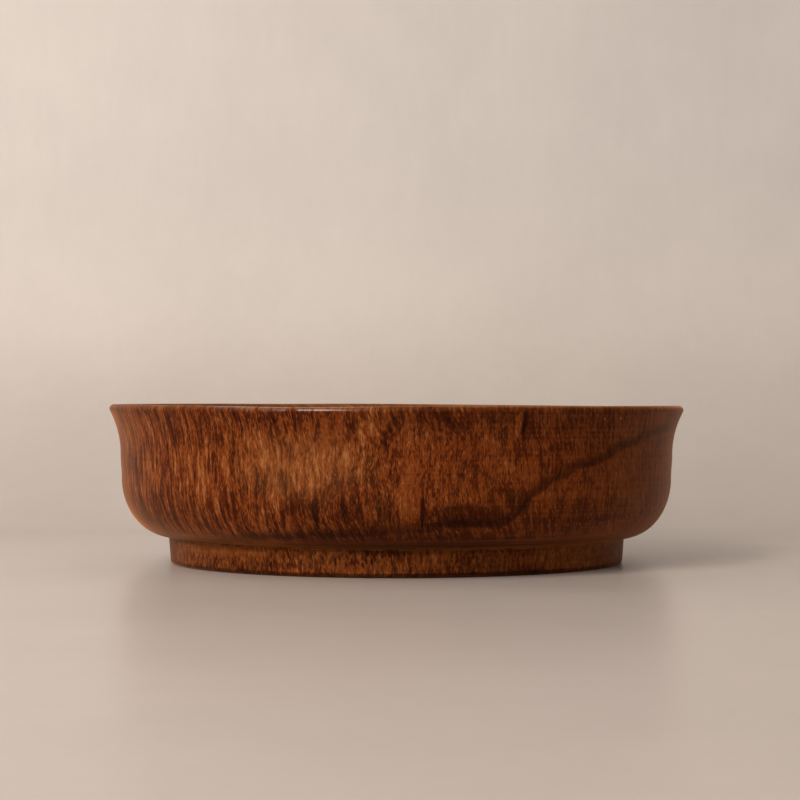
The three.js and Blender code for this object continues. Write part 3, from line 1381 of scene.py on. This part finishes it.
@dataclass(frozen=True)
class Plaster:
    """The pale finish of the floor and the wall, with painted shade at the foot of the wall. It is clear
    from behind and under the foot.
    """

    wall: Colour = srgb(217, 217, 218)
    floor: Colour = srgb(201, 197, 195)
    black: Colour = (0.0, 0.0, 0.0, 1.0)
    wall_start: float = 0.24  # height where the floor's colour has given way to the wall's
    corner_shade_depth: float = 0.13  # how much painted shade darkens the foot of the wall
    corner_shade_back: float = 0.25  # how far behind the bowl the painted shade is darkest
    # height where the painted shade at the foot of the wall has faded out
    corner_shade_height: float = 0.16
    cloud_size: float = 90 * MM
    cloud_depth: float = 0.06  # how much darker the cloudy patches are
    scuff_width: float = 7 * MM
    scuff_height: float = 35 * MM
    scuff_depth: float = 0.018
    patch_edges: tuple[float, float] = (0.3, 0.7)  # noise where clouds and scuffs start and are full
    wall_roughness: float = 0.9
    floor_roughness: float = 0.3
    mirror: float = 0.65
    clear_radius: float = 92.5 * MM  # under the foot, so that views from below are lit

    def material(self) -> bpy.types.Material:
        """Builds the material.

        Returns:
            The material.
        """
        made, bench = bare_material("Pale plaster")
        place = bench.object_place()
        _, back, height = bench.split(place)
        cloud_place = bench.cells(place, self.cloud_size, self.cloud_size)
        cloud = bench.noise(cloud_place, seed=2.0, detail=6.0, roughness=0.65)
        scuff_place = bench.cells(place, self.scuff_width, self.scuff_height)
        scuff = bench.noise(scuff_place, seed=6.0, detail=4.0, roughness=0.6)
        # painted shade in the corner where the floor sweeps up into the wall
        low = bench.step(height, self.corner_shade_height, 0.0)
        corner_shade = bench.times(bench.step(back, 0.0, self.corner_shade_back), low)
        mottle_and_shade = bench.times(bench.step(cloud, *self.patch_edges), self.cloud_depth)
        mottle_and_shade = bench.add(mottle_and_shade, bench.step(scuff, *self.patch_edges), self.scuff_depth)
        mottle_and_shade = bench.add(mottle_and_shade, corner_shade, self.corner_shade_depth)
        rise = bench.step(height, 0.0, self.wall_start)
        colour = bench.mix(rise, self.floor, self.wall)
        shader = bench.node("ShaderNodeBsdfPrincipled")
        shader.inputs["Specular IOR Level"].default_value = self.mirror
        bench.feed(shader.inputs["Base Color"], bench.mix(mottle_and_shade, colour, self.black))
        bench.feed(shader.inputs["Roughness"], bench.blend(rise, self.floor_roughness, self.wall_roughness))
        clear = bench.node("ShaderNodeBsdfTransparent")
        under = bench.math("LESS_THAN", bench.length(place), self.clear_radius)
        behind = bench.node("ShaderNodeNewGeometry").outputs["Backfacing"]
        choice = bench.math("MAXIMUM", behind, under)
        seen = bench.node("ShaderNodeMixShader", choice, shader.outputs[0], clear.outputs[0])
        bench.surface(seen.outputs[0])
        return made


@dataclass
class Studio:
    """A pale floor that sweeps up behind the bowl, a soft lamp to the left and a little light all round."""

    sweep_start: float = 0.2
    sweep_radius: float = 0.2
    sweep_top: float = 2.4
    sweep_steps: int = 24
    floor_front: float = -3.0
    floor_back: float = 3.0
    half_width: float = 3.0
    lamp_angle: float = -38.0  # degrees to the right of the camera, so it hangs at the left
    lamp_elevation: float = 30.0
    lamp_distance: float = 3.5
    lamp_size: float = 2.35
    lamp_watts: float = 207.0
    lamp_colour: tuple[float, float, float] = (1.0, 0.873, 0.76)
    air_level: Colour = (0.1, 0.08, 0.065, 1.0)
    air_above: Colour = (1.0, 0.81, 0.66, 1.0)
    # Looking up and looking down: the slope where the brighter air starts, and where it is full
    air_rise: tuple[float, float] = (-0.1, 0.9)
    air_fall: tuple[float, float] = (-0.2, -0.6)
    air_strength: float = 0.5
    air_seen: Colour = (1.1, 0.93, 0.8, 1.0)  # what other views see past the wall's ends

    def build(self) -> None:
        """Builds the floor, the lamp and the light all round."""
        self._floor()
        self._lamp()
        self._air()

    def _air(self) -> None:
        """Lights the room: dim towards the level, brighter above and below, and pale where it is seen."""
        world = bpy.data.worlds.new("Soft air")
        world.use_nodes = True
        bench = Bench(world.node_tree)
        _, _, up = bench.split(bench.node("ShaderNodeTexCoord").outputs["Generated"])
        bright = bench.math("MAXIMUM", bench.step(up, *self.air_rise), bench.step(up, *self.air_fall))
        glow = bench.mix(bright, self.air_level, self.air_above)
        seen = bench.node("ShaderNodeLightPath").outputs["Is Camera Ray"]
        background = world.node_tree.nodes["Background"]
        bench.feed(background.inputs["Color"], bench.mix(seen, glow, self.air_seen))
        background.inputs["Strength"].default_value = self.air_strength
        bpy.context.scene.world = world

    def _floor(self) -> None:
        """Builds the floor and the sweep as one sheet, and the floor that rear views see behind it."""
        section = [(self.floor_front, 0.0)]
        for angle in (QUARTER * step / self.sweep_steps for step in range(self.sweep_steps + 1)):
            rise = self.sweep_radius * (1 - math.cos(angle))
            section.append((self.sweep_start + self.sweep_radius * math.sin(angle), rise))
        section.append((self.sweep_start + self.sweep_radius, self.sweep_top))
        behind = [(self.sweep_start, 0.0), (self.floor_back, 0.0)]
        points = [(side * self.half_width, y, z) for y, z in section + behind for side in (-1, 1)]
        starts = [*range(len(section) - 1), len(section)]
        faces = [(2 * i, 2 * i + 1, 2 * i + 3, 2 * i + 2) for i in starts]
        mesh = bpy.data.meshes.new("studio_floor")
        mesh.from_pydata(points, [], faces)
        mesh.shade_smooth()
        mesh.materials.append(Plaster().material())
        sheet = bpy.data.objects.new("studio_floor", mesh)
        bpy.context.scene.collection.objects.link(sheet)

    def _lamp(self) -> None:
        """Hangs the soft lamp, aimed at the bowl."""
        light = bpy.data.lights.new("soft_lamp", "AREA")
        light.size = self.lamp_size
        light.energy = self.lamp_watts
        light.color = self.lamp_colour
        lamp = bpy.data.objects.new("soft_lamp", light)
        angle = math.radians(self.lamp_angle)
        elevation = math.radians(self.lamp_elevation)
        level = self.lamp_distance * math.cos(elevation)
        height = self.lamp_distance * math.sin(elevation)
        lamp.location = (level * math.sin(angle), -level * math.cos(angle), height)
        lamp.rotation_euler = (QUARTER - elevation, 0, -angle)
        lamp.visible_camera = False
        bpy.context.scene.collection.objects.link(lamp)


@dataclass
class PhotoCamera:
    """The camera at the photograph's place: level, just above the rim."""

    distance: float = 0.942  # from the bowl's axis
    height: float = 67.7 * MM
    image_side: float = 800.0  # pixels
    focal_pixels: float = 2235.0
    axis_column: float = 396.5  # the pixel column that the bowl's axis lies on
    sensor: float = 36.0  # millimetres, as Blender counts it

    def build(self) -> None:
        """Sets the scene's camera."""
        data = bpy.data.cameras.new("photo_camera")
        data.sensor_width = self.sensor
        data.lens = self.sensor * self.focal_pixels / self.image_side
        made = bpy.data.objects.new("photo_camera", data)
        aside = (self.image_side / 2 - self.axis_column) * self.distance / self.focal_pixels
        made.location = (aside, -self.distance, self.height)
        made.rotation_euler = (QUARTER, 0, 0)
        bpy.context.scene.collection.objects.link(made)
        bpy.context.scene.camera = made


def main() -> None:
    logging.basicConfig(level=logging.INFO, format="%(name)s: %(message)s")
    bpy.context.scene.view_settings.view_transform = "Standard"
    PhotoCamera().build()
    Studio().build()

    bowl_low, bowl_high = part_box(Node.BOWL.value)
    _, foot_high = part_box(Node.FOOT.value)
    groups = WoodGroups.build()
    bowl = BowlBody(
        rim_radius=bowl_high.x,
        rim_level=bowl_high.z,
        spigot_level=bowl_low.z,
        foot_radius=foot_high.x,
    )
    foot = FootRing(
        radius=foot_high.x,
        height=foot_high.z + THINNER_GLUE,
        rim_radius=bowl_high.x,
    )
    for turned, wood in ((bowl, BOWL_WOOD), (foot, FOOT_WOOD)):
        piece = turned.build(wood.material(groups))
        log.info("%s has %d points", piece.name, len(piece.data.vertices))


if __name__ == "__main__":
    main()
